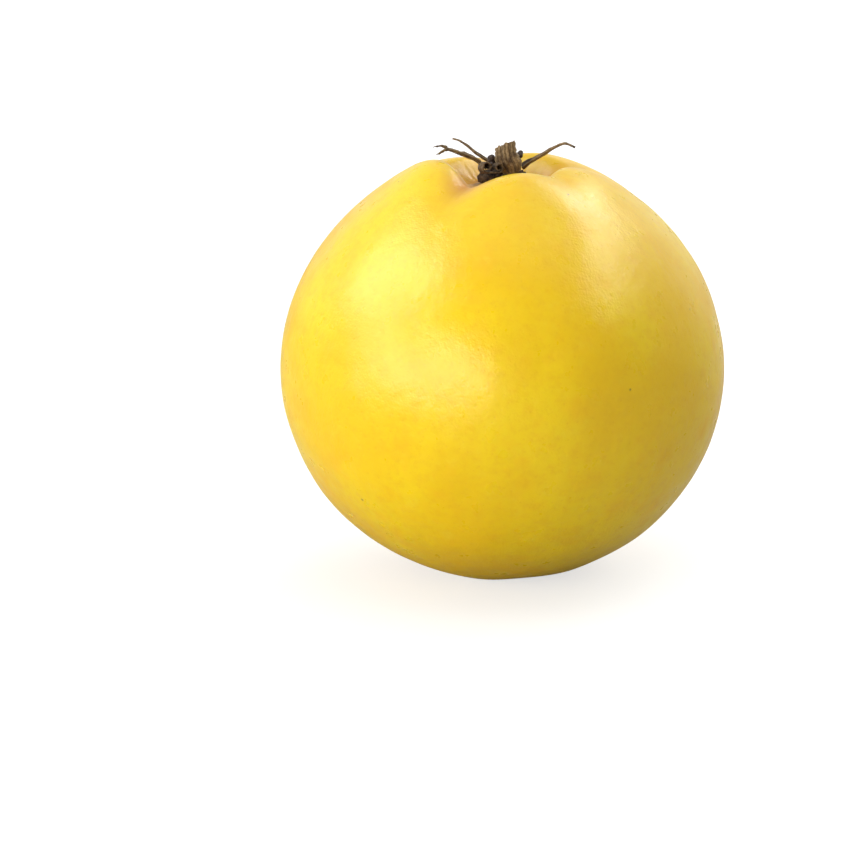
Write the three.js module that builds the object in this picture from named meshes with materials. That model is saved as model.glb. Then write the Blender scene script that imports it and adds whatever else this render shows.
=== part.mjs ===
// A ripe quince as picked, standing on its stem end with the dried calyx up.
// Units are millimetres. +Z is up, the origin is on the ground under the fruit's axis,
// and -Y is the front. Azimuths are in degrees, anticlockwise from +X seen from above.
//
// The fruit is one solid: an ellipsoid with five lobes and creases round a calyx basin, a foot
// pressed flat, and a stem cavity. The calyx in the basin is made of a cup, five dry sepals,
// a ring of dry stamens and five styles. A woody stem stub sits in the cavity underneath.

import * as THREE from "three";

// ---- Driving dimensions ----

const WIDTH = 88; // across the fruit's widest part
const HALF_WIDTH = WIDTH / 2;
const HALF_HEIGHT = 42.6; // of the ellipsoid that the fruit follows
const FOOT_SINK = 1.6; // how far the ellipsoid's foot is pressed flat
const FOOT_BLEND = 0.35; // height over which the flank rounds into the flat foot
const CENTRE_Z = HALF_HEIGHT - FOOT_SINK;
const GAP = 0.35; // between neighbouring pieces

const BASIN = { depth: 5.2, floorRadius: 5.1, rimRadius: 12.6, creaseWidening: 1.6 };
const CAVITY = { depth: 5, floorRadius: 3.4, rimRadius: 7.6, ribHeight: 0.15 };

// Lobes round the basin: where each one's crest is, and how far it lifts the shoulder.
const SHOULDER = { radius: 15.5, spread: 8 };
const LOBES = [
  { at: 200, lift: 2.6 },
  { at: 284, lift: 1.7 },
  { at: 347, lift: 1.1 },
  { at: 60, lift: 1.0 },
  { at: 131, lift: 0.3 },
];
const LOBE_SPREAD = 38; // degrees

// Creases between the lobes: depth, and how far from the axis each one runs out.
const CREASES = [
  { at: 241, depth: 3.0, reach: 27 },
  { at: 315, depth: 0.9, reach: 30 },
  { at: 12, depth: 1.8, reach: 25 },
  { at: 97, depth: 2.4, reach: 23 },
  { at: 160, depth: 1.5, reach: 22 },
];
const CREASE_WIDTH = 3.6;
const CREASE_ROUNDING = 1.8;
const VALLEY = { depth: 0.7, spread: 17 }; // degrees; each crease goes on down the flank as a valley

const CUP = { radius: 5, rimRadius: 4.3, height: 1.7, mouthRadius: 3.5, hollow: 1.0 };
const STAMENS = 15;
const STYLES = 5;
const STEM = { radius: 2.3, length: 3.8 };

// ---- Small helpers ----

const toRadians = THREE.MathUtils.degToRad;
const smoothstep = (low, high, x) => THREE.MathUtils.smoothstep(x, low, high);
const mix = THREE.MathUtils.lerp;

/** The shortest turn between two azimuths, in degrees, from 0 to 180. */
function turnBetween(a, b) {
  const turn = Math.abs(a - b) % 360;
  return turn > 180 ? 360 - turn : turn;
}

/** Never less than 0, with a rounded change of slope. Exactly 0 at and below -FOOT_BLEND. */
function pressedFlat(height) {
  const overlap = Math.max(FOOT_BLEND - Math.abs(height), 0) / FOOT_BLEND;
  return Math.max(height, 0) + (overlap * overlap * FOOT_BLEND) / 4;
}

/** A repeatable number from 0 to 1 for the index and the property it varies. */
function vary(index, property) {
  const value = Math.sin(index * 12.9898 + property * 78.233) * 43758.5453;
  return value - Math.floor(value);
}

/** The point at an azimuth, a distance from the axis and a height. */
function polarPoint(azimuth, radius, height) {
  const angle = toRadians(azimuth);
  return new THREE.Vector3(radius * Math.cos(angle), radius * Math.sin(angle), height);
}

// ---- The fruit's surface ----

/** How near an azimuth is to a crease: 1 on the crease, and falling away within the spread. */
function creaseNearness(azimuth, spread) {
  let nearness = 0;
  for (const crease of CREASES) {
    nearness += Math.exp(-((turnBetween(azimuth, crease.at) / spread) ** 2));
  }
  return nearness;
}

/** How far the basin lowers the surface. It reaches further out along the creases. */
function basinDrop(radius, azimuth) {
  const widening = BASIN.creaseWidening * creaseNearness(azimuth, VALLEY.spread);
  return BASIN.depth * (1 - smoothstep(BASIN.floorRadius, BASIN.rimRadius + widening, radius));
}

/** How far the lobes and creases of the crown raise the surface. */
function crownRelief(radius, azimuth) {
  const shoulder =
    radius < SHOULDER.radius
      ? smoothstep(BASIN.floorRadius, SHOULDER.radius, radius)
      : Math.exp(-(((radius - SHOULDER.radius) / SHOULDER.spread) ** 2));
  let relief = 0;
  for (const lobe of LOBES) {
    const nearness = Math.exp(-((turnBetween(azimuth, lobe.at) / LOBE_SPREAD) ** 2));
    relief += lobe.lift * nearness * shoulder;
  }
  for (const crease of CREASES) {
    const away = radius * toRadians(turnBetween(azimuth, crease.at));
    const across = Math.exp(-(Math.hypot(away, CREASE_ROUNDING) - CREASE_ROUNDING) / CREASE_WIDTH);
    const along =
      smoothstep(BASIN.floorRadius, BASIN.floorRadius + 4.5, radius) *
      (1 - smoothstep(crease.reach * 0.4, crease.reach, radius));
    relief -= crease.depth * across * along;
  }
  return relief;
}

/** The shallow valleys and uneven cheeks of the flanks, as a change of radius. */
function flankRelief(azimuth, polar) {
  const fullness = Math.sin(polar) ** 2;
  const turn = toRadians(azimuth);
  let relief = 0.5 * Math.cos(2 * turn + 0.6) + 0.35 * Math.sin(3 * turn) * Math.cos(polar);
  relief -= VALLEY.depth * creaseNearness(azimuth, VALLEY.spread) * (0.45 + 0.55 * Math.cos(polar));
  return relief * fullness;
}

/** Height near the stem end: pressed flat on the ground, with the ribbed cavity pushed up into it. */
function footHeight(height, radius, azimuth) {
  const ribs =
    CAVITY.ribHeight *
    Math.cos(toRadians(5 * azimuth)) *
    smoothstep(0, CAVITY.rimRadius, radius) *
    (1 - smoothstep(CAVITY.rimRadius, HALF_WIDTH, radius));
  const cavity = CAVITY.depth * (1 - smoothstep(CAVITY.floorRadius, CAVITY.rimRadius, radius));
  return pressedFlat(height + ribs) + cavity;
}

/** The fruit's surface at an azimuth and a polar angle, which is 0 at the calyx and PI at the stem. */
function fruitPoint(azimuth, polar) {
  const radius = Math.max(HALF_WIDTH * Math.sin(polar) + flankRelief(azimuth, polar), 0);
  const plainHeight = CENTRE_Z + HALF_HEIGHT * Math.cos(polar);
  const height =
    polar < Math.PI / 2
      ? plainHeight + crownRelief(radius, azimuth) - basinDrop(radius, azimuth)
      : footHeight(plainHeight, radius, azimuth);
  return polarPoint(azimuth, radius, height);
}

const BASIN_FLOOR_Z = fruitPoint(0, 0).z;
const CUP_BASE_Z = BASIN_FLOOR_Z + GAP;
const CUP_RIM_Z = CUP_BASE_Z + CUP.height;

// ---- Geometry makers ----

/** The whole fruit: a sphere's grid, drawn closer at both ends and laid on the fruit's surface. */
function fruitGeometry(around = 66, down = 44, crowding = 0.55) {
  const geometry = new THREE.SphereGeometry(1, around, down);
  const positions = geometry.getAttribute("position");
  const vertex = new THREE.Vector3();
  for (let i = 0; i < positions.count; i++) {
    vertex.fromBufferAttribute(positions, i);
    const share = Math.acos(THREE.MathUtils.clamp(vertex.y, -1, 1)) / Math.PI;
    const polar = Math.PI * share - (crowding / 2) * Math.sin(2 * Math.PI * share);
    const azimuth = THREE.MathUtils.radToDeg(Math.atan2(-vertex.z, vertex.x));
    const point = fruitPoint(azimuth, polar);
    positions.setXYZ(i, point.x, point.y, point.z);
  }
  return geometry;
}

/** A closed tube of changing radius along a curve. */
function tubeGeometry(curve, radiusAt, sides = 7, rings = 8) {
  const geometry = new THREE.CylinderGeometry(1, 1, 1, sides, rings);
  const frames = curve.computeFrenetFrames(rings, false);
  const positions = geometry.getAttribute("position");
  for (let i = 0; i < positions.count; i++) {
    const ring = Math.round((0.5 - positions.getY(i)) * rings);
    const radius = radiusAt(ring / rings);
    const point = curve
      .getPointAt(ring / rings)
      .addScaledVector(frames.normals[ring], radius * positions.getX(i))
      .addScaledVector(frames.binormals[ring], radius * positions.getZ(i));
    positions.setXYZ(i, point.x, point.y, point.z);
  }
  return geometry;
}

/**
 * A closed leaf-like sheet along a curve. sectionAt(along, across) gives the sheet's middle in the
 * plane across the curve as [sideways, upwards], with along from 0 to 1 and across from -1 to 1.
 * face is the direction that upwards leans to.
 */
function sheetGeometry({ curve, face, sectionAt, thickness, cells = [8, 12] }) {
  const [cellsAcross, cellsAlong] = cells;
  const geometry = new THREE.BoxGeometry(1, 1, 1, cellsAcross, cellsAlong, 1);
  const positions = geometry.getAttribute("position");
  const step = 1e-3;
  for (let i = 0; i < positions.count; i++) {
    const along = positions.getY(i) + 0.5;
    const across = positions.getX(i) * 2;
    const tangent = curve.getTangentAt(along);
    const sideways = new THREE.Vector3().crossVectors(tangent, face).normalize();
    const upwards = new THREE.Vector3().crossVectors(sideways, tangent);
    const [side, up] = sectionAt(along, across);
    const [sideBefore, upBefore] = sectionAt(along, across - step);
    const [sideAfter, upAfter] = sectionAt(along, across + step);
    const run = new THREE.Vector2(sideAfter - sideBefore, upAfter - upBefore).normalize();
    const offset = positions.getZ(i) * thickness;
    const point = curve
      .getPointAt(along)
      .addScaledVector(sideways, side - run.y * offset)
      .addScaledVector(upwards, up + run.x * offset);
    positions.setXYZ(i, point.x, point.y, point.z);
  }
  return geometry;
}

/** A section that is part of a circle: halfWidthAt(along) is measured round it. */
function curledSection(halfWidthAt, baseCurl, tipCurl) {
  return (along, across) => {
    const bend = toRadians(mix(baseCurl, tipCurl, along)) / 2;
    const radius = halfWidthAt(along) / bend;
    return [radius * Math.sin(across * bend), radius * (1 - Math.cos(across * bend))];
  };
}

/** A section whose two edges roll inwards, side by side, the further along the more. One roll is wider. */
function scrolledSection({ wide, narrow, inner, baseTurn, tipTurn }) {
  const flatShare = 0.14;
  return (along, across) => {
    const turn = mix(baseTurn, tipTurn, smoothstep(0, 0.6, along));
    const side = Math.sign(across) || 1;
    const outer = side > 0 ? wide : narrow;
    const middle = outer + 0.2;
    const share = Math.abs(across);
    if (share < flatShare) return [(side * middle * share) / flatShare, 0];
    const rolled = (share - flatShare) / (1 - flatShare);
    const radius = mix(outer, inner, rolled);
    const angle = toRadians(turn * rolled - 90);
    return [side * (middle + radius * Math.cos(angle)), outer + radius * Math.sin(angle)];
  };
}

/** A lance-shaped outline: the half width at a fraction of the length. */
function lance(base, widest, tip) {
  return (along) =>
    along < 0.3
      ? mix(base, widest, smoothstep(0, 0.3, along))
      : mix(widest, tip, smoothstep(0.3, 1, along));
}

function smoothCurve(points) {
  return new THREE.CatmullRomCurve3(points.map((point) => new THREE.Vector3(...point)));
}

// ---- Materials ----

function dull(color, roughness) {
  return new THREE.MeshStandardMaterial({ color, roughness, metalness: 0 });
}

const skin = dull(0xf2c81e, 0.42);
const drySepal = dull(0x7a6040, 0.85);
const dryCup = dull(0x4e3a28, 0.9);
const dryStamen = dull(0x33241c, 0.8);
const wood = dull(0x5b4433, 0.85);

// ---- The pieces ----

const quince = new THREE.Group();

function addPiece(name, geometry, material) {
  const mesh = new THREE.Mesh(geometry, material);
  mesh.name = name;
  quince.add(mesh);
  return mesh;
}

function addFruit() {
  addPiece("fruit_body", fruitGeometry(), skin);
}

/** The dry cup at the bottom of the basin, which the sepals, stamens and styles stand on. */
function addCalyxCup() {
  const profile = [
    [0, 0],
    [CUP.radius, 0],
    [CUP.radius, CUP.height * 0.55],
    [CUP.rimRadius, CUP.height],
    [CUP.mouthRadius, CUP.height * 0.9],
    [CUP.mouthRadius - 0.3, CUP.hollow - 0.4],
    [0, CUP.height - CUP.hollow],
  ].map(([x, y]) => new THREE.Vector2(x, y));
  const cup = addPiece("calyx_cup", new THREE.LatheGeometry(profile, 30), dryCup);
  cup.rotation.x = Math.PI / 2;
  cup.position.z = CUP_BASE_Z;
}

/** Five dry sepals on the cup's rim. Heights in their curves are counted from that rim. */
function addSepals() {
  const up = new THREE.Vector3(0, 0, 1);
  const fromRim = (points) => smoothCurve(points.map(([x, y, z]) => [x, y, CUP_RIM_Z + GAP + z]));
  const sepals = {
    sepal_left: {
      curve: fromRim([
        [-3.9, 1.2, 0.3],
        [-5.4, 0.8, 1.8],
        [-8.2, -0.2, 3.1],
        [-10.8, -1.1, 4.3],
        [-12.2, -1.5, 4.5],
        [-13.5, -1.9, 4.1],
      ]),
      face: up,
      sectionAt: curledSection(lance(1.5, 1.6, 0.2), 70, 150),
      thickness: 0.36,
    },
    sepal_rear: {
      curve: fromRim([
        [-0.8, 3.9, 0.2],
        [-2.9, 4.4, 0.9],
        [-5.6, 4.6, 2.6],
        [-7.2, 4.6, 4.0],
        [-8.7, 4.7, 5.0],
        [-10.1, 4.8, 5.4],
      ]),
      face: up,
      sectionAt: curledSection(lance(0.9, 0.75, 0.2), 80, 220),
      thickness: 0.32,
    },
    sepal_right: {
      curve: fromRim([
        [3.9, 0.8, 0.3],
        [5.6, 0.9, 1.6],
        [8.0, 0.8, 3.0],
        [10.4, 0.6, 4.6],
        [12.2, 0.5, 5.3],
        [14.2, 0.4, 4.6],
      ]),
      face: up,
      sectionAt: curledSection(lance(2.0, 1.0, 0.24), 80, 220),
      thickness: 0.36,
    },
    sepal_upright: {
      curve: fromRim([
        [2.0, -3.6, 0.1],
        [1.5, -3.9, 1.4],
        [0.6, -3.8, 3.6],
        [0.4, -3.1, 6.3],
      ]),
      face: new THREE.Vector3(0, 1, 0),
      sectionAt: curledSection(lance(1.7, 2.4, 2.2), 60, 120),
      thickness: 0.55,
    },
    sepal_scrolled: {
      curve: fromRim([
        [-3.0, -3.1, 0.2],
        [-2.6, -4.5, 0.6],
        [-2.0, -6.0, 0.9],
        [-1.7, -7.1, 1.0],
      ]),
      face: up,
      sectionAt: scrolledSection({ wide: 1.2, narrow: 0.9, inner: 0.42, baseTurn: 60, tipTurn: 380 }),
      thickness: 0.3,
      cells: [30, 6],
    },
  };
  for (const [name, shape] of Object.entries(sepals)) addPiece(name, sheetGeometry(shape), drySepal);
}

/** A ring of dry stamens: a thin thread that ends in a small pollen sac. */
function addStamens() {
  const thread = 0.2;
  const sac = 0.42;
  const swelling = (along) => smoothstep(0.68, 0.84, along) - smoothstep(0.9, 1.05, along);
  const radiusAt = (along) => mix(thread, sac, swelling(along));
  const floorZ = CUP_BASE_Z + CUP.height - CUP.hollow + GAP;
  for (let i = 0; i < STAMENS; i++) {
    const azimuth = (360 * (i + 0.5)) / STAMENS;
    const height = 1.8 + 3.1 * vary(i, 16);
    const lean = 1.4 * vary(i, 16) ** 3;
    const curve = new THREE.QuadraticBezierCurve3(
      polarPoint(azimuth, 2.5, floorZ),
      polarPoint(azimuth, 2.4, floorZ + height * 0.6),
      polarPoint(azimuth, 2.5 + lean, floorZ + height),
    );
    const number = String(i + 1).padStart(2, "0");
    addPiece(`stamen_${number}`, tubeGeometry(curve, radiusAt), dryStamen);
  }
}

/** Five dry styles that stand close together in the middle of the cup. */
function addStyles() {
  const radiusAt = (along) => mix(0.34, 0.22, along);
  const floorZ = CUP_BASE_Z + CUP.height - CUP.hollow + GAP;
  for (let i = 0; i < STYLES; i++) {
    const azimuth = (360 * i) / STYLES;
    const height = 2.6 + 0.8 * vary(i, 3);
    const curve = new THREE.QuadraticBezierCurve3(
      polarPoint(azimuth, 0.85, floorZ),
      polarPoint(azimuth, 0.7, floorZ + height * 0.6),
      polarPoint(azimuth, 1.1, floorZ + height),
    );
    addPiece(`style_${i + 1}`, tubeGeometry(curve, radiusAt, 6, 5), dryStamen);
  }
}

/** The broken stalk, hanging in the cavity clear of the ground. */
function addStem() {
  const top = CAVITY.depth - GAP;
  const curve = new THREE.LineCurve3(
    new THREE.Vector3(0, 0, top),
    new THREE.Vector3(0.3, 0.2, top - STEM.length),
  );
  const radiusAt = (along) => STEM.radius * (1.12 - 0.3 * smoothstep(0, 0.6, along));
  addPiece("stem_stub", tubeGeometry(curve, radiusAt, 14, 6), wood);
}

addFruit();
addCalyxCup();
addSepals();
addStamens();
addStyles();
addStem();

export default quince;
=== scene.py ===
"""A ripe quince standing on its stem end, with the dried calyx up.

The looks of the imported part: a finely modelled fruit, calyx and stalk that replace the plain solids,
their materials, a pale studio and a camera. Shapes are worked out in millimetres, in the part's own
frame (+Z up, -Y to the front, origin on the ground), and scaled to metres as each mesh is made.
Azimuths are in degrees, anticlockwise from +X seen from above.
"""

import math

import bpy
import numpy as np
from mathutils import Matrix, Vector, noise


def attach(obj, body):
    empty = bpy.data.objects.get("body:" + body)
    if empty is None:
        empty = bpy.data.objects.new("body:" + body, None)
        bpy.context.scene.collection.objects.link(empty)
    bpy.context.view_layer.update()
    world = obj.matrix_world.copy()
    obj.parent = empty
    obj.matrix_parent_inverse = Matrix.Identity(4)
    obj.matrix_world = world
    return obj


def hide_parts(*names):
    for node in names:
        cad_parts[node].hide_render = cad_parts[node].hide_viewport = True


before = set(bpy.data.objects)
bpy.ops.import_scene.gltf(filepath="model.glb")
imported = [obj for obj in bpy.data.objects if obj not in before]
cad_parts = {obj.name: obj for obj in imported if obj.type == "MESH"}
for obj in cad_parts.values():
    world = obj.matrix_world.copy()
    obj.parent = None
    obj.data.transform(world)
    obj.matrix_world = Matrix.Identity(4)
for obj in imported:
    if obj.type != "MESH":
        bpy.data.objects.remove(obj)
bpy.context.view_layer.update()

MM = 0.001

# ---- Driving dimensions, in millimetres ----

HALF_WIDTH = 44.0
HALF_HEIGHT = 42.6
FOOT_SINK = 1.6
FOOT_BLEND = 0.35
CENTRE_Z = HALF_HEIGHT - FOOT_SINK
GAP = 0.35

BASIN_DEPTH = 5.2
BASIN_FLOOR_RADIUS = 5.1
BASIN_RIM_RADIUS = 12.6
BASIN_CREASE_WIDENING = 1.6

CAVITY_DEPTH = 5.0
CAVITY_FLOOR_RADIUS = 3.4
CAVITY_RIM_RADIUS = 7.6
CAVITY_RIB_HEIGHT = 0.15

SHOULDER_RADIUS = 15.5
SHOULDER_SPREAD = 8.0
LOBES = ((200, 2.6), (284, 1.7), (347, 1.1), (60, 1.0), (131, 0.3))  # azimuth, lift
LOBE_SPREAD = 38.0  # degrees
CREASES = (  # azimuth, depth, reach
    (241, 3.0, 27),
    (315, 0.9, 30),
    (12, 1.8, 25),
    (97, 2.4, 23),
    (160, 1.5, 22),
)
CREASE_WIDTH = 3.6
CREASE_ROUNDING = 1.8
CREASE_SHADE_DEPTH = 3.4  # the crease depth that the skin's colours count as 1
VALLEY_DEPTH = 0.7
VALLEY_SPREAD = 17.0  # degrees

CUP_RADIUS = 5.0
CUP_RIM_RADIUS = 4.3
CUP_MOUTH_RADIUS = 3.5
CUP_HEIGHT = 1.7
CUP_HOLLOW = 1.0
STAMENS = 15
STYLES = 5
STEM_RADIUS = 2.3
STEM_LENGTH = 3.8


# ---- Small helpers ----


def smoothstep(low, high, x):
    share = np.clip((np.asarray(x, float) - low) / (high - low), 0, 1)
    return share * share * (3 - 2 * share)


def mix(a, b, share):
    return a + (b - a) * share


def turn_between(a, b):
    """The shortest turn between two azimuths, in degrees, from 0 to 180."""
    turn = np.abs(np.asarray(a, float) - b) % 360
    return np.where(turn > 180, 360 - turn, turn)


def vary(index, salt):
    """A repeatable number from 0 to 1 for the index and the property it varies."""
    value = math.sin(index * 12.9898 + salt * 78.233) * 43758.5453
    return value - math.floor(value)


def polar_point(azimuth, radius, height):
    angle = math.radians(azimuth)
    return Vector((radius * math.cos(angle), radius * math.sin(angle), height))


def noise_at(points, size, salt=0.0):
    """Smooth noise from about -1 to 1 at each point, with lumps about size millimetres across."""
    offset = Vector((salt, salt * 1.7, salt * 0.3))
    values = [noise.noise(Vector(point) / size + offset) for point in points.reshape(-1, 3)]
    return np.array(values).reshape(points.shape[:-1])


# ---- Meshes ----


def new_object(name, vertices, faces):
    """A smooth-shaded object from vertices in millimetres."""
    mesh = bpy.data.meshes.new(name)
    mesh.from_pydata([tuple(v) for v in np.asarray(vertices) * MM], [], faces)
    mesh.update()
    mesh.polygons.foreach_set("use_smooth", [True] * len(mesh.polygons))
    made = bpy.data.objects.new(name, mesh)
    bpy.context.scene.collection.objects.link(made)
    return made


def add_attribute(made, name, values):
    attribute = made.data.attributes.new(name, "FLOAT", "POINT")
    attribute.data.foreach_set("value", np.asarray(values, np.float32).ravel())


def grid_faces(rows, columns, wrap):
    """Quads of a grid of points, numbered row by row. wrap joins the last column to the first."""
    faces = []
    for row in range(rows - 1):
        for column in range(columns if wrap else columns - 1):
            after = (column + 1) % columns
            faces.append((row * columns + column, row * columns + after,
                          (row + 1) * columns + after, (row + 1) * columns + column))
    return faces


def finish_piece(made, node, material):
    made.data.materials.append(material)
    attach(made, "root")
    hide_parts(node)


# ---- The fruit's surface ----


def crease_nearness(azimuth, spread):
    return sum(np.exp(-((turn_between(azimuth, at) / spread) ** 2)) for at, _, _ in CREASES)


def crease_depth(radius, azimuth):
    """How far the creases between the lobes cut into the crown."""
    depth = np.zeros_like(radius)
    for at, deepest, reach in CREASES:
        away = radius * np.radians(turn_between(azimuth, at))
        across = np.exp(-(np.hypot(away, CREASE_ROUNDING) - CREASE_ROUNDING) / CREASE_WIDTH)
        along = smoothstep(BASIN_FLOOR_RADIUS, BASIN_FLOOR_RADIUS + 4.5, radius)
        along = along * (1 - smoothstep(reach * 0.4, reach, radius))
        depth += deepest * across * along
    return depth


def lobe_lift(radius, azimuth):
    """How far the lobes raise the shoulder round the basin."""
    inside = smoothstep(BASIN_FLOOR_RADIUS, SHOULDER_RADIUS, radius)
    outside = np.exp(-(((radius - SHOULDER_RADIUS) / SHOULDER_SPREAD) ** 2))
    shoulder = np.where(radius < SHOULDER_RADIUS, inside, outside)
    lift = np.zeros_like(radius)
    for at, height in LOBES:
        lift += height * np.exp(-((turn_between(azimuth, at) / LOBE_SPREAD) ** 2))
    return lift * shoulder


def basin_drop(radius, azimuth):
    rim = BASIN_RIM_RADIUS + BASIN_CREASE_WIDENING * crease_nearness(azimuth, VALLEY_SPREAD)
    return BASIN_DEPTH * (1 - smoothstep(BASIN_FLOOR_RADIUS, rim, radius))


def flank_relief(azimuth, polar):
    """The shallow valleys and uneven cheeks of the flanks, as a change of radius."""
    turn = np.radians(azimuth)
    relief = 0.5 * np.cos(2 * turn + 0.6) + 0.35 * np.sin(3 * turn) * np.cos(polar)
    relief = relief - VALLEY_DEPTH * crease_nearness(azimuth, VALLEY_SPREAD) * (0.45 + 0.55 * np.cos(polar))
    return relief * np.sin(polar) ** 2


def pressed_flat(height):
    overlap = np.maximum(FOOT_BLEND - np.abs(height), 0) / FOOT_BLEND
    return np.maximum(height, 0) + overlap * overlap * FOOT_BLEND / 4


def foot_height(height, radius, azimuth):
    """Height near the stem end: pressed flat on the ground, with the ribbed cavity pushed up into it."""
    ribs = CAVITY_RIB_HEIGHT * np.cos(np.radians(5 * azimuth)) * smoothstep(0, CAVITY_RIM_RADIUS, radius)
    ribs = ribs * (1 - smoothstep(CAVITY_RIM_RADIUS, HALF_WIDTH, radius))
    cavity = CAVITY_DEPTH * (1 - smoothstep(CAVITY_FLOOR_RADIUS, CAVITY_RIM_RADIUS, radius))
    return pressed_flat(height + ribs) + cavity


def fruit_surface(azimuth, polar):
    """(radius, height) of the surface. polar is 0 at the calyx and pi at the stem."""
    radius = np.maximum(HALF_WIDTH * np.sin(polar) + flank_relief(azimuth, polar), 0)
    plain_height = CENTRE_Z + HALF_HEIGHT * np.cos(polar)
    crown = plain_height + lobe_lift(radius, azimuth) - crease_depth(radius, azimuth)
    crown = crown - basin_drop(radius, azimuth)
    foot = foot_height(plain_height, radius, azimuth)
    return radius, np.where(polar < math.pi / 2, crown, foot)


BASIN_FLOOR_Z = float(fruit_surface(np.zeros(1), np.zeros(1))[1][0])
CUP_BASE_Z = BASIN_FLOOR_Z + GAP
CUP_RIM_Z = CUP_BASE_Z + CUP_HEIGHT
CUP_FLOOR_Z = CUP_RIM_Z - CUP_HOLLOW


def fruit_points(around, down, crowding=0.55):
    """The surface's grid, crowded at both ends, as azimuth, polar angle, radius and points."""
    azimuth, share = np.meshgrid(np.arange(around) * 360 / around, np.linspace(0, 1, down + 1))
    polar = math.pi * share - crowding / 2 * np.sin(2 * math.pi * share)
    radius, height = fruit_surface(azimuth, polar)
    angle = np.radians(azimuth)
    points = np.stack([radius * np.cos(angle), radius * np.sin(angle), height], axis=-1)
    return azimuth, polar, radius, points


def surface_normals(points):
    """Outward unit normals of a wrapped grid of points."""
    around = np.roll(points, -1, axis=1) - np.roll(points, 1, axis=1)
    down = np.gradient(points, axis=0)
    normals = np.cross(down, around)
    length = np.linalg.norm(normals, axis=-1, keepdims=True)
    return normals / np.maximum(length, 1e-9)


def skin_relief(azimuth, radius, points, crown):
    """How far the fine wrinkles of the basin and the slight lumps of the flanks stand out."""
    angle = np.radians(azimuth)
    spokes = np.stack([np.cos(angle) * 9, np.sin(angle) * 9, radius * 0.12], axis=-1)
    wrinkles = noise_at(spokes, 0.9, 3.1) * 0.13 + noise_at(spokes, 2.1, 7.7) * 0.22
    lumps = noise_at(points, 13.0, 1.3) * 0.26 + noise_at(points, 5.0, 5.9) * 0.05
    fade = smoothstep(4.6, 6.5, radius) * (1 - smoothstep(7.0, 13.0, radius))
    ends = smoothstep(8.0, 18.0, radius)
    standing = smoothstep(0.3, 3.0, points[..., 2])
    return wrinkles * fade * crown + lumps * ends * standing


def poles_once(grid):
    """A grid's values in one list, with its first row and its last row as one value each."""
    rings = grid[1:-1].reshape(-1, *grid.shape[2:])
    return np.concatenate([grid[:1, 0], rings, grid[-1:, 0]])


def skin_faces(around, rings):
    """Faces over the rings of points, closed at both ends by a fan round a single point."""
    faces = [tuple(i + 1 for i in face)[::-1] for face in grid_faces(rings, around, wrap=True)]
    last = 1 + rings * around
    for column in range(around):
        after = (column + 1) % around
        faces.append((0, 1 + column, 1 + after))
        faces.append((last, last - around + after, last - around + column))
    return faces


def add_fruit(material):
    """The fruit with its fine relief, and how deep each point lies in each kind of hollow."""
    around, down = ((320, 240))
    azimuth, polar, radius, points = fruit_points(around, down)
    crown = 1 - smoothstep(1.0, 1.5, polar)
    stem_end = smoothstep(2.4, 2.8, polar)
    hollows = {
        "basin": crown * (1 - smoothstep(5.0, 13.0, radius)),
        "cavity": stem_end * (1 - smoothstep(4.0, 12.0, radius)),
        "crease": crown * crease_depth(radius, azimuth) / CREASE_SHADE_DEPTH,
    }
    relief = skin_relief(azimuth, radius, points, crown)
    points = points + surface_normals(points) * relief[..., None]
    made = new_object("quince_skin", poles_once(points), skin_faces(around, down - 1))
    for name, values in hollows.items():
        add_attribute(made, name, poles_once(values))
    finish_piece(made, "fruit_body", material)


# ---- Curves, tubes and sheets ----


def smooth_curve(points, steps=240):
    """Points evenly spaced by length on a centripetal Catmull-Rom curve, and their unit tangents."""
    given = [Vector(point) for point in points]
    ends = [given[0] * 2 - given[1]] + given + [given[-1] * 2 - given[-2]]
    steps_between = 24
    dense = []
    for before, start, end, after in zip(ends, ends[1:], ends[2:], ends[3:]):
        knots = [0.0]
        for a, b in ((before, start), (start, end), (end, after)):
            knots.append(knots[-1] + math.sqrt((b - a).length))
        for step in range(steps_between):
            t = mix(knots[1], knots[2], step / steps_between)
            a1 = before.lerp(start, t / knots[1])
            a2 = start.lerp(end, (t - knots[1]) / (knots[2] - knots[1]))
            a3 = end.lerp(after, (t - knots[2]) / (knots[3] - knots[2]))
            b1 = a1.lerp(a2, t / knots[2])
            b2 = a2.lerp(a3, (t - knots[1]) / (knots[3] - knots[1]))
            dense.append(b1.lerp(b2, (t - knots[1]) / (knots[2] - knots[1])))
    dense = np.array(dense + [given[-1]])
    length = np.concatenate([[0], np.cumsum(np.linalg.norm(np.diff(dense, axis=0), axis=1))])
    even = np.linspace(0, length[-1], steps + 1)
    line = np.stack([np.interp(even, length, dense[:, k]) for k in range(3)], axis=-1)
    tangents = np.gradient(line, axis=0)
    return line, tangents / np.linalg.norm(tangents, axis=1, keepdims=True)


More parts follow.
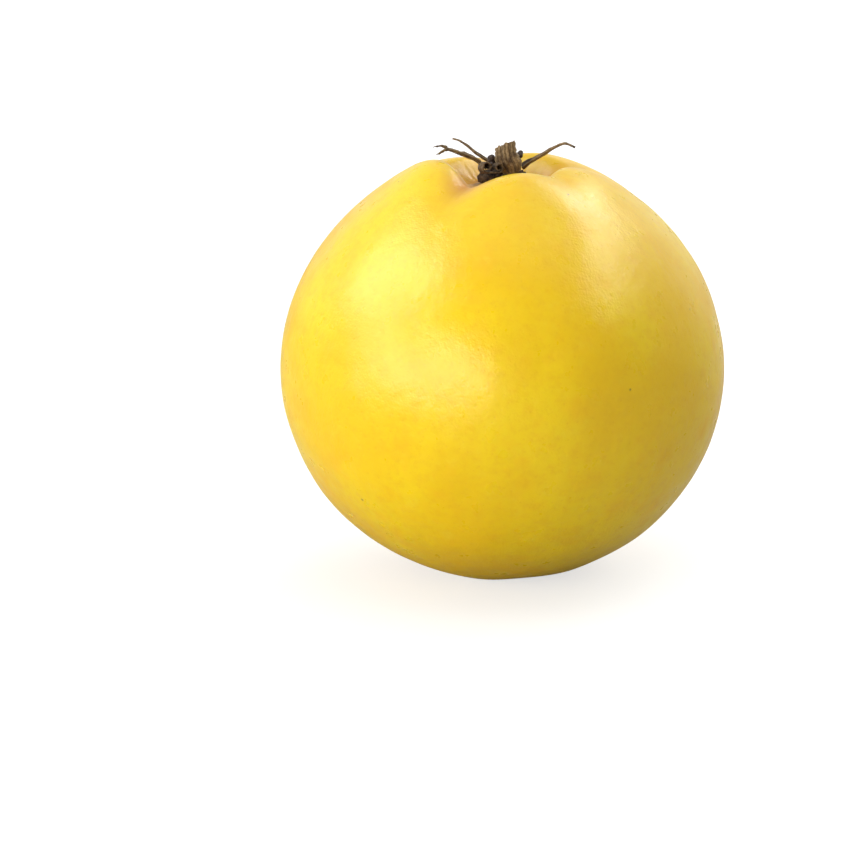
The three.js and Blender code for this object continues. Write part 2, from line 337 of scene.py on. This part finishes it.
def tube(name, line, radius_at, sides=14, roughness=0.0, salt=0.0):
    """A closed tube along a line of points. radius_at(share) is its radius from one end to the other."""
    line = np.asarray(line, float)
    tangents = np.gradient(line, axis=0)
    tangents = tangents / np.linalg.norm(tangents, axis=1, keepdims=True)
    side = np.cross(tangents[0], (0.3, 0.9, 0.1))
    vertices = []
    for i, (point, tangent) in enumerate(zip(line, tangents)):
        side = side - tangent * (side @ tangent)
        side = side / np.linalg.norm(side)
        other = np.cross(tangent, side)
        for k in range(sides):
            angle = 2 * math.pi * k / sides
            spot = point + side * math.cos(angle) + other * math.sin(angle)
            rough = 1 + roughness * noise.noise(Vector(spot) * 1.6 + Vector((salt, 0, 0)))
            reach = radius_at(i / (len(line) - 1)) * rough
            vertices.append(point + reach * (side * math.cos(angle) + other * math.sin(angle)))
    faces = grid_faces(len(line), sides, wrap=True)
    vertices += [line[0], line[-1]]
    first, last = len(vertices) - 2, len(vertices) - 1
    end = (len(line) - 1) * sides
    for k in range(sides):
        after = (k + 1) % sides
        faces.append((first, after, k))
        faces.append((last, end + k, end + after))
    return new_object(name, vertices, faces)


def grid_border(rows, columns):
    """The numbers of the points on a grid's border, once round."""
    border = list(range(columns))
    border += [row * columns + columns - 1 for row in range(1, rows)]
    border += [(rows - 1) * columns + k for k in range(columns - 2, -1, -1)]
    border += [row * columns for row in range(rows - 2, 0, -1)]
    return border


def sheet(name, curve, face, section_at, thickness_at, columns=48, rows=90):
    """A closed leaf-like sheet along a curve.

    section_at(along, across) gives the sheet's middle in the plane across the curve as (sideways,
    upwards, lengthways), with along from 0 to 1 and across from -1 to 1, all as arrays.
    """
    line, tangents = curve
    along, across = np.meshgrid(np.linspace(0, 1, rows), np.linspace(-1, 1, columns), indexing="ij")
    place = along[:, 0] * (len(line) - 1)
    pick = np.arange(len(line))
    centre = np.stack([np.interp(place, pick, line[:, k]) for k in range(3)], axis=-1)[:, None, :]
    tangent = np.stack([np.interp(place, pick, tangents[:, k]) for k in range(3)], axis=-1)
    sideways = np.cross(tangent, np.asarray(face, float))
    sideways = (sideways / np.linalg.norm(sideways, axis=1, keepdims=True))[:, None, :]
    upwards = np.cross(sideways, tangent[:, None, :])
    side, up, lengthways = section_at(along, across)
    middle = centre + sideways * side[..., None] + upwards * up[..., None]
    middle = middle + tangent[:, None, :] * lengthways[..., None]
    across_step = np.gradient(middle, axis=1)
    along_step = np.gradient(middle, axis=0)
    normal = np.cross(across_step, along_step)
    normal = normal / np.maximum(np.linalg.norm(normal, axis=-1, keepdims=True), 1e-9)
    half = thickness_at(along, across)[..., None] / 2
    upper = (middle + normal * half).reshape(-1, 3)
    lower = (middle - normal * half).reshape(-1, 3)
    count = rows * columns
    faces = grid_faces(rows, columns, wrap=False)
    under = [tuple(i + count for i in reversed(quad)) for quad in faces]
    border = grid_border(rows, columns)
    edge = []
    for a, b in zip(border, border[1:] + border[:1]):
        edge.append((b, a, a + count, b + count))
    made = new_object(name, np.vstack([upper, lower]), faces + under + edge)
    add_attribute(made, "across", np.concatenate([across.ravel(), across.ravel()]))
    add_attribute(made, "along", np.concatenate([along.ravel(), along.ravel()]))
    return made


# ---- Sections of the sepals ----


def lance(base, widest, tip):
    """A lance-shaped outline: the half width at a fraction of the length."""

    def half_width(along):
        rising = mix(base, widest, smoothstep(0, 0.3, along))
        falling = mix(widest, tip, smoothstep(0.3, 1, along))
        return np.where(along < 0.3, rising, falling)

    return half_width


def wander(along, across, size, salt):
    """Noise over a sheet, with lumps about size wide on a scale where the sheet is 1 long."""
    spots = np.stack([along / size, across * 0.5 / size, np.full_like(along, salt)], axis=-1)
    return noise_at(spots, 1.0, salt)


def curled_section(half_width_at, base_curl, tip_curl, salt, ribs=5, rib_height=0.05):
    """Part of a circle, with lengthwise ribs and an uneven edge."""

    def section(along, across):
        bend = np.radians(mix(base_curl, tip_curl, along)) / 2
        uneven = 1 + 0.16 * wander(along, np.sign(across), 0.09, salt) * np.abs(across)
        radius = half_width_at(along) / bend * uneven
        lift = rib_height * np.cos(across * math.pi * ribs) + 0.1 * wander(along, across, 0.11, salt + 5)
        return radius * np.sin(across * bend), radius * (1 - np.cos(across * bend)) + lift, 0 * along

    return section


def forked(section, notch, spread):
    """Splits a section's tip into two prongs, one above the other."""

    def split(along, across):
        side, up, lengthways = section(along, across)
        share = smoothstep(0.74, 1.0, along)
        up = up + np.tanh(across * 5) * spread * share
        return side * (1 + 0.6 * share), up, lengthways - notch * share * (1 - np.abs(across)) ** 1.5

    return split


def torn(section, slope, salt):
    """Tears a section's tip off unevenly, lower towards the positive side."""

    def ragged(along, across):
        side, up, lengthways = section(along, across)
        share = smoothstep(0.45, 1.0, along)
        edge = slope * smoothstep(-0.45, 0.9, across) + 0.45 * wander(across, 0 * across, 0.16, salt)
        return side, up, lengthways - share * edge

    return ragged


def scrolled_section(wide, narrow, inner, base_turn, tip_turn, salt, flat_share=0.14):
    """Two edges rolled inwards, side by side, the further along the more. One roll is wider."""

    def section(along, across):
        turn = mix(base_turn, tip_turn, smoothstep(0, 0.6, along))
        share = np.abs(across)
        outer = np.where(across > 0, wide, narrow)
        middle = outer + 0.1
        rolled = np.clip((share - flat_share) / (1 - flat_share), 0, 1)
        uneven = 1 + 0.1 * wander(along, across, 0.3, salt)
        radius = mix(outer, inner, rolled) * uneven
        angle = np.radians(turn * rolled - 90)
        flat = share < flat_share
        side = np.where(flat, middle * share / flat_share, middle + radius * np.cos(angle))
        up = np.where(flat, 0, outer + radius * np.sin(angle))
        ragged = 0.5 * wander(across, 0 * across, 0.22, salt + 2) * smoothstep(0.6, 1, along)
        return np.where(across < 0, -side, side), up, ragged

    return section


# ---- The dried calyx ----


def from_rim(points):
    """A curve whose heights are counted from the cup's rim."""
    return smooth_curve([(x, y, CUP_RIM_Z + GAP + z) for x, y, z in points])


def paper(thickest):
    """A thickness that thins towards the edges."""
    return lambda along, across: thickest * (1 - 0.55 * across**2) * (1 - 0.3 * along)


def add_sepals(material):
    up = (0, 0, 1)
    left = from_rim([(-3.9, 1.2, 0.3), (-5.4, 0.8, 1.8), (-8.2, -0.2, 3.1),
                     (-10.8, -1.1, 4.3), (-12.2, -1.5, 4.5), (-13.5, -1.9, 4.1)])
    rear = from_rim([(-0.8, 3.9, 0.2), (-2.9, 4.4, 0.9), (-5.6, 4.6, 2.6), (-7.2, 4.6, 4.0),
                     (-8.7, 4.7, 5.0), (-10.1, 4.8, 5.4)])
    right = from_rim([(3.9, 0.8, 0.3), (5.6, 0.9, 1.6), (8.0, 0.8, 3.0),
                      (10.4, 0.6, 4.6), (12.2, 0.5, 5.3), (14.2, 0.4, 4.6)])
    upright = from_rim([(2.0, -3.6, 0.1), (1.5, -3.9, 1.4), (0.6, -3.8, 3.6), (0.4, -3.1, 6.3)])
    scroll = from_rim([(-3.0, -3.1, 0.2), (-2.6, -4.5, 0.6), (-2.0, -6.0, 0.9), (-1.7, -7.1, 1.0)])

    left_section = forked(curled_section(lance(1.5, 1.7, 0.3), 70, 150, 1.0), 2.4, 0.7)
    rear_section = curled_section(lance(0.9, 0.75, 0.2), 80, 220, 2.0)
    right_section = curled_section(lance(2.0, 1.0, 0.24), 80, 220, 3.0)
    upright_section = torn(curled_section(lance(1.7, 2.5, 2.3), 60, 120, 4.0, 6, 0.14), 0.9, 4.5)
    scroll_section = scrolled_section(1.2, 0.9, 0.4, 60, 400, 5.0)

    made = {
        "sepal_left": sheet("left_sepal", left, up, left_section, paper(0.42)),
        "sepal_rear": sheet("rear_sepal", rear, up, rear_section, paper(0.34)),
        "sepal_right": sheet("right_sepal", right, up, right_section, paper(0.4)),
        "sepal_upright": sheet("upright_sepal", upright, (0, 1, 0), upright_section, paper(0.6)),
        "sepal_scrolled": sheet("scrolled_sepal", scroll, up, scroll_section, paper(0.34),
                                columns=96, rows=60),
    }
    stains = {"sepal_left": 0.2, "sepal_scrolled": 0.6}
    for node, piece in made.items():
        add_attribute(piece, "stain", [stains.get(node, 0.0)] * len(piece.data.vertices))
        finish_piece(piece, node, material)


def cup_profile():
    """(radii, heights) of the cup's outline, from its base up the side, over the rim and down inside."""
    corners = [(0, 0), (CUP_RADIUS, 0), (CUP_RADIUS, CUP_HEIGHT * 0.55), (CUP_RIM_RADIUS, CUP_HEIGHT),
               (CUP_MOUTH_RADIUS, CUP_HEIGHT * 0.9), (CUP_MOUTH_RADIUS - 0.3, CUP_HOLLOW - 0.4),
               (0, CUP_HEIGHT - CUP_HOLLOW)]
    radii = []
    heights = []
    for (r0, h0), (r1, h1) in zip(corners, corners[1:]):
        steps = max(2, round(math.hypot(r1 - r0, h1 - h0) / 0.22))
        for step in range(steps):
            radii.append(mix(r0, r1, step / steps))
            heights.append(mix(h0, h1, step / steps))
    return radii, heights


def add_cup(material):
    """The crusty cup that the sepals, stamens and styles stand on."""
    around = 96
    radii, heights = cup_profile()
    azimuth, radius = np.meshgrid(np.arange(around) * 360 / around, radii)
    height = np.repeat(np.array(heights)[:, None], around, axis=1)
    angle = np.radians(azimuth)
    points = np.stack([radius * np.cos(angle), radius * np.sin(angle), height], axis=-1)
    crust = noise_at(points, 0.9, 2.2) * 0.22 + noise_at(points, 0.35, 8.1) * 0.1
    swell = 1 + crust / np.maximum(radius, 1.5) * smoothstep(0.5, 2.0, radius)
    points[..., :2] *= swell[..., None]
    points[..., 2] += crust * smoothstep(CUP_HEIGHT * 0.4, CUP_HEIGHT, height) + CUP_BASE_Z
    rows = len(radii)
    vertices = list(points.reshape(-1, 3)) + [(0, 0, CUP_FLOOR_Z)]
    faces = grid_faces(rows, around, wrap=True)
    last = (rows - 1) * around
    for column in range(around):
        faces.append((rows * around, last + column, last + (column + 1) % around))
    cup = new_object("dry_cup_crust", vertices, faces)
    finish_piece(cup, "calyx_cup", material)


def bent_line(start, middle, end, steps=26):
    """Points of a curve that starts at one point, leans towards the second and ends at the third."""
    share = np.linspace(0, 1, steps)[:, None]
    start, middle, end = (np.array(tuple(point)) for point in (start, middle, end))
    return (1 - share) ** 2 * start + 2 * share * (1 - share) * middle + share**2 * end


def add_stamens(material):
    """A ring of dry stamens: a thin thread that ends in a small dark pollen sac."""

    def radius_at(along):
        swelling = smoothstep(0.66, 0.8, along) - smoothstep(0.9, 1.02, along)
        return float(mix(0.2, 0.56, swelling))

    for i in range(STAMENS):
        azimuth = 360 * (i + 0.5) / STAMENS
        height = 1.8 + 3.1 * vary(i, 16)
        lean = 1.4 * vary(i, 16) ** 3
        line = bent_line(polar_point(azimuth, 2.5, CUP_FLOOR_Z + GAP),
                         polar_point(azimuth, 2.4, CUP_FLOOR_Z + GAP + height * 0.6),
                         polar_point(azimuth, 2.5 + lean, CUP_FLOOR_Z + GAP + height))
        piece = tube(f"dry_stamen_{i + 1:02d}", line, radius_at, roughness=0.35, salt=i)
        finish_piece(piece, f"stamen_{i + 1:02d}", material)


def add_styles(material):
    """Five dry styles close together in the middle of the cup."""

    def radius_at(along):
        return mix(0.34, 0.24, along)

    for i in range(STYLES):
        azimuth = 360 * i / STYLES
        height = 2.6 + 0.8 * vary(i, 3)
        line = bent_line(polar_point(azimuth, 0.85, CUP_FLOOR_Z + GAP),
                         polar_point(azimuth, 0.7, CUP_FLOOR_Z + GAP + height * 0.6),
                         polar_point(azimuth, 1.1, CUP_FLOOR_Z + GAP + height))
        piece = tube(f"dry_style_{i + 1}", line, radius_at, roughness=0.3, salt=20 + i)
        finish_piece(piece, f"style_{i + 1}", material)


def add_stem(material):
    """The broken stalk in the cavity, ridged like bark."""
    top = CAVITY_DEPTH - GAP
    share = np.linspace(0, 1, 50)[:, None]
    line = mix(np.array([0, 0, top]), np.array([0.3, 0.2, top - STEM_LENGTH]), share)

    def radius_at(along):
        return STEM_RADIUS * float(1.12 - 0.3 * smoothstep(0, 0.6, along))

    stub = tube("stalk_stub", line, radius_at, sides=48, roughness=0.16, salt=31)
    finish_piece(stub, "stem_stub", material)


# ---- Materials ----


class Nodes:
    """Adds and links the nodes of one material."""

    def __init__(self, name):
        self.material = bpy.data.materials.new(name)
        self.material.use_nodes = True
        self.tree = self.material.node_tree
        self.shader = self.tree.nodes["Principled BSDF"]
        place = self.add("ShaderNodeTexCoord").outputs["Object"]
        self.place = self.vector("SCALE", place, Scale=1 / MM)

    def add(self, kind, inputs=(), **settings):
        node = self.tree.nodes.new(kind)
        for name, value in settings.items():
            setattr(node, name, value)
        for socket, value in dict(inputs).items():
            self.connect(value, node.inputs[socket])
        return node

    def connect(self, value, socket):
        if isinstance(value, bpy.types.NodeSocket):
            self.tree.links.new(value, socket)
        else:
            socket.default_value = value

    def attribute(self, name):
        return self.add("ShaderNodeAttribute", attribute_name=name).outputs["Fac"]

    def vector(self, operation, a, b=None, **named):
        inputs = {0: a, **named}
        if b is not None:
            inputs[1] = b
        return self.add("ShaderNodeVectorMath", inputs, operation=operation).outputs["Vector"]

    def math(self, operation, a, b=0.0):
        return self.add("ShaderNodeMath", {0: a, 1: b}, operation=operation).outputs["Value"]

    def noise(self, size, place=None, detail=3.0, rough=0.5):
        """Noise from about 0 to 1 with lumps about size millimetres across."""
        inputs = {"Vector": place or self.place, "Scale": 1 / size, "Detail": detail, "Roughness": rough}
        return self.add("ShaderNodeTexNoise", inputs).outputs["Fac"]

    def spots(self, spacing, place=None):
        """(distance to the nearest of a scatter of points in millimetres, a random number for each point)."""
        inputs = {"Vector": place or self.place, "Scale": 1 / spacing}
        node = self.add("ShaderNodeTexVoronoi", inputs)
        distance = self.math("MULTIPLY", node.outputs["Distance"], spacing)
        return distance, self.add("ShaderNodeSeparateColor", {0: node.outputs["Color"]}).outputs[0]

    def range(self, value, low, high, to_low=0.0, to_high=1.0):
        inputs = {"Value": value, "From Min": low, "From Max": high, "To Min": to_low, "To Max": to_high}
        return self.add("ShaderNodeMapRange", inputs, interpolation_type="SMOOTHSTEP").outputs["Result"]

    def mixed(self, share, a, b):
        """A colour between a and b. Colours are given as (red, green, blue), linear."""
        a, b = ((*c, 1.0) if isinstance(c, tuple) else c for c in (a, b))
        return self.add("ShaderNodeMix", {0: share, 6: a, 7: b}, data_type="RGBA").outputs[2]

    def bump(self, height, distance, strength=1.0, normal=None):
        inputs = {"Height": height, "Distance": distance * MM, "Strength": strength}
        if normal is not None:
            inputs["Normal"] = normal
        return self.add("ShaderNodeBump", inputs).outputs["Normal"]

    def finish(self, **sockets):
        for name, value in sockets.items():
            self.connect(value, self.shader.inputs[name.replace("_", " ")])
        return self.material


def skin_ground(n, pore):
    """The yellow of the open skin: broad clouds, golden patches, fine mottling, pale flecks and pores."""
    cloud = n.noise(26, detail=2)
    colour = n.mixed(n.range(cloud, 0.35, 0.65), (0.89, 0.56, 0.002), (0.93, 0.645, 0.003))
    patch = n.noise(8, detail=3)
    colour = n.mixed(n.range(patch, 0.5, 0.75, 0, 0.45), colour, (0.91, 0.485, 0.001))
    mottle = n.noise(2.2, detail=5, rough=0.7)
    colour = n.mixed(n.range(mottle, 0.42, 0.75, 0, 0.55), colour, (0.84, 0.49, 0.001))
    pale = n.noise(3.4, detail=4, rough=0.65)
    colour = n.mixed(n.range(pale, 0.55, 0.8, 0, 0.35), colour, (0.96, 0.72, 0.04))
    return n.mixed(n.range(pore, 0.06, 0.3, 0.3, 0), colour, (0.80, 0.45, 0.002))


def skin_hollows(n, colour):
    """Paints shade into the creases and the basin as a deeper orange, and lays russet at the calyx and the
    stem.
    """
    basin = n.attribute("basin")
    cavity = n.attribute("cavity")
    crease = n.attribute("crease")
    # painted shade: the creases between the lobes are darkened to a deeper orange
    painted_crease_shade = n.range(crease, 0.1, 0.8, 0, 0.8)
    colour = n.mixed(painted_crease_shade, colour, (0.60, 0.23, 0.001))
    # painted shade: the basin round the calyx is darkened to a deeper orange
    inner = n.range(basin, 0.4, 0.95, 0, 0.75)
    colour = n.mixed(inner, colour, (0.58, 0.22, 0.002))
    crumbs = n.range(n.noise(1.6, detail=5, rough=0.7), 0.42, 0.62)
    rust = n.math("MULTIPLY", crumbs, n.range(basin, 0.88, 1.0))
    colour = n.mixed(rust, colour, (0.30, 0.11, 0.015))
    blots = n.range(n.noise(2.2, detail=5, rough=0.7), 0.35, 0.6)
    stain = n.math("MULTIPLY", blots, n.range(cavity, 0.3, 0.95))
    return n.mixed(stain, colour, (0.27, 0.13, 0.03))


def skin_surface(n, pore):
    """The fine relief of the wax: soft dimples, upright streaks, pores and grain."""
    spread = n.vector("MULTIPLY", n.place, (1.0, 1.0, 0.0))
    outward = n.vector("SCALE", n.vector("NORMALIZE", spread), Scale=HALF_WIDTH)
    height = n.vector("MULTIPLY", n.place, (0.0, 0.0, 0.25))
    streak = n.noise(1.5, n.vector("ADD", outward, height), detail=4, rough=0.6)
    surface = n.bump(n.noise(2.8, detail=3), 0.2, 0.7)
    surface = n.bump(streak, 0.06, 0.7, surface)
    surface = n.bump(n.range(pore, 0.0, 0.45), 0.025, 0.8, surface)
    return n.bump(n.noise(0.45, detail=3), 0.05, 0.8, surface)


def skin_material():
    """Ripe yellow skin: satin wax over small pores, a few brown specks, russet at the calyx and the stem, and
    painted shade in the creases and the basin.
    """
    n = Nodes("quince_skin")
    pore, _ = n.spots(1.3)
    colour = skin_hollows(n, skin_ground(n, pore))
    speck, chance = n.spots(6.5)
    dot = n.math("MULTIPLY", n.range(speck, 0.12, 0.42, 1, 0), n.range(chance, 0.62, 0.66))
    colour = n.mixed(n.math("MULTIPLY", dot, 0.75), colour, (0.20, 0.12, 0.02))
    surface = skin_surface(n, pore)
    rough = n.range(n.noise(4.0, detail=4), 0.3, 0.7, 0.27, 0.36)
    return n.finish(Base_Color=colour, Roughness=rough, Normal=surface, Specular_IOR_Level=0.45,
                    Subsurface_Weight=0.12, Subsurface_Radius=(1.0, 0.42, 0.08),
                    Subsurface_Scale=0.003)


def dry_leaf_material():
    """Dried sepal: tan paper with darker veins along it and brown stains."""
    n = Nodes("dry_sepal")
    across = n.attribute("across")
    along = n.attribute("along")
    veins = n.math("ABSOLUTE", n.math("SINE", n.math("MULTIPLY", across, 14.0)))
    wobble = n.noise(0.8, detail=4, rough=0.7)
    colour = n.mixed(n.range(wobble, 0.35, 0.7), (0.15, 0.088, 0.036), (0.36, 0.25, 0.125))
    colour = n.mixed(n.range(veins, 0.0, 0.55, 0.75, 0), colour, (0.035, 0.017, 0.008))
    stains = n.noise(1.9, detail=3)
    colour = n.mixed(n.range(stains, 0.5, 0.68, 0, 0.8), colour, (0.035, 0.018, 0.009))
    edge = n.math("MULTIPLY", n.range(n.math("ABSOLUTE", across), 0.75, 1.0), 0.45)
    colour = n.mixed(edge, colour, (0.45, 0.34, 0.20))
    colour = n.mixed(n.range(along, 0.0, 0.35, 0.6, 0), colour, (0.05, 0.03, 0.012))
    colour = n.mixed(n.attribute("stain"), colour, (0.045, 0.026, 0.012))
    surface = n.bump(n.noise(0.35, detail=5, rough=0.7), 0.16, 0.8)
    return n.finish(Base_Color=colour, Roughness=0.82, Normal=surface, Specular_IOR_Level=0.3)


def dry_cup_material():
    n = Nodes("dry_cup")
    crust = n.noise(0.7, detail=5, rough=0.7)
    colour = n.mixed(n.range(crust, 0.35, 0.65), (0.022, 0.012, 0.007), (0.13, 0.078, 0.038))
    surface = n.bump(crust, 0.3, 0.9)
    return n.finish(Base_Color=colour, Roughness=0.9, Normal=surface, Specular_IOR_Level=0.25)


def dry_stamen_material():
    n = Nodes("dry_stamen")
    fibre = n.noise(0.4, detail=4, rough=0.7)
    colour = n.mixed(n.range(fibre, 0.35, 0.68), (0.012, 0.005, 0.004), (0.07, 0.038, 0.022))
    surface = n.bump(fibre, 0.12, 0.8)
    return n.finish(Base_Color=colour, Roughness=0.7, Normal=surface, Specular_IOR_Level=0.4)


def bark_material():
    n = Nodes("stalk_bark")
    stretched = n.vector("MULTIPLY", n.place, (1.0, 1.0, 0.25))
    fibre = n.noise(0.5, stretched, detail=5, rough=0.65)
    colour = n.mixed(n.range(fibre, 0.35, 0.68), (0.045, 0.026, 0.015), (0.17, 0.11, 0.062))
    surface = n.bump(fibre, 0.3, 0.9)
    return n.finish(Base_Color=colour, Roughness=0.85, Normal=surface, Specular_IOR_Level=0.25)


# ---- Studio ----


def add_floor():
    """A pale floor with a soft shadow. The camera sees it lifted to white, and the fruit doesn't."""
    half = 4000.0
    corners = [(-half, -half, 0), (half, -half, 0), (half, half, 0), (-half, half, 0)]
    floor = new_object("floor", corners, [(0, 1, 2, 3)])
    n = Nodes("floor")
    seen = n.add("ShaderNodeLightPath").outputs["Is Camera Ray"]
    floor.data.materials.append(n.finish(Base_Color=(0.42, 0.42, 0.42, 1), Roughness=0.9,
                                         Emission_Color=(1, 1, 1, 1),
                                         Emission_Strength=n.math("MULTIPLY", seen, 0.66)))


def add_soft_light(name, direction, distance, size, share, lights=True, shines=True):
    """A rectangular soft light that faces the fruit's middle. Distances and sizes are in metres.

    share is how much of a white surface's brightness the light gives where it falls straight on it.
    A light that only lights leaves no highlight, and one that only shines leaves nothing else.
    """
    light = bpy.data.lights.new(name, "AREA")
    light.shape = "RECTANGLE"
    light.size, light.size_y = size
    light.energy = math.pi**2 * distance**2 * share
    lamp = bpy.data.objects.new(name, light)
    bpy.context.scene.collection.objects.link(lamp)
    towards = Vector(direction).normalized()
    lamp.location = Vector((0, 0, CENTRE_Z * MM)) + towards * distance
    lamp.rotation_mode = "QUATERNION"
    lamp.rotation_quaternion = towards.to_track_quat("Z", "Y")
    lamp.visible_camera = False
    lamp.visible_diffuse = lights
    lamp.visible_glossy = shines


def add_world():
    """A surround that looks white to the camera, and lights the fruit most from behind."""
    world = bpy.data.worlds.new("studio")
    bpy.context.scene.world = world
    world.use_nodes = True
    nodes, links = world.node_tree.nodes, world.node_tree.links
    background = nodes["Background"]
    background.inputs["Color"].default_value = (1, 1, 1, 1)
    place = nodes.new("ShaderNodeTexCoord").outputs["Generated"]
    split = nodes.new("ShaderNodeSeparateXYZ")
    links.new(place, split.inputs["Vector"])
    depth = nodes.new("ShaderNodeMapRange")
    depth.interpolation_type = "SMOOTHSTEP"
    for socket, value in {"From Min": -0.6, "From Max": 0.9, "To Min": 0.36, "To Max": 0.95}.items():
        depth.inputs[socket].default_value = value
    links.new(split.outputs["Y"], depth.inputs["Value"])
    seen = nodes.new("ShaderNodeLightPath").outputs["Is Camera Ray"]
    strength = nodes.new("ShaderNodeMath")
    strength.operation = "MAXIMUM"
    links.new(seen, strength.inputs[0])
    links.new(depth.outputs["Result"], strength.inputs[1])
    links.new(strength.outputs["Value"], background.inputs["Strength"])


def add_camera():
    """Level with the horizon, from the front and a little above, with the fruit right of the middle."""
    elevation = math.radians(14)
    distance = 0.9
    view_width = 0.170
    aim_left = 0.0154
    aim_below = 0.0119
    camera = bpy.data.cameras.new("camera")
    camera.sensor_width = 36
    camera.lens = camera.sensor_width * distance / view_width
    back = Vector((0, -math.cos(elevation), math.sin(elevation)))
    up = Vector((0, math.sin(elevation), math.cos(elevation)))
    middle = Vector((0, 0, CENTRE_Z * MM))
    aim = middle - Vector((aim_left, 0, 0)) - up * aim_below
    holder = bpy.data.objects.new("camera", camera)
    bpy.context.scene.collection.objects.link(holder)
    holder.location = middle + back * distance
    holder.rotation_mode = "QUATERNION"
    holder.rotation_quaternion = (holder.location - aim).to_track_quat("Z", "Y")
    bpy.context.scene.camera = holder


# ---- The scene ----

add_camera()
add_world()
add_floor()
add_soft_light("left_window", (-0.72, -0.66, 0.18), 1.0, (1.2, 0.45), 0.9, shines=False)
add_soft_light("overhead", (0.1, 0.0, 1.0), 1.0, (0.8, 0.8), 0.34, shines=False)
add_soft_light("rear_fill", (0.5, 0.78, 0.38), 0.9, (0.6, 0.6), 0.45, shines=False)
add_soft_light("left_shine", (-0.74, -0.06, 0.62), 0.75, (0.55, 0.55), 0.85, lights=False)
add_soft_light("left_glow", (-0.62, -0.74, 0.15), 1.0, (1.2, 0.4), 0.6, lights=False)
add_soft_light("right_shine", (0.6, 0.25, 0.72), 0.85, (1.0, 0.2), 0.58, lights=False)

dry_stamen = dry_stamen_material()
add_fruit(skin_material())
add_cup(dry_cup_material())
add_sepals(dry_leaf_material())
add_stamens(dry_stamen)
add_styles(dry_stamen)
add_stem(bark_material())

bpy.context.scene.view_settings.view_transform = "Standard"
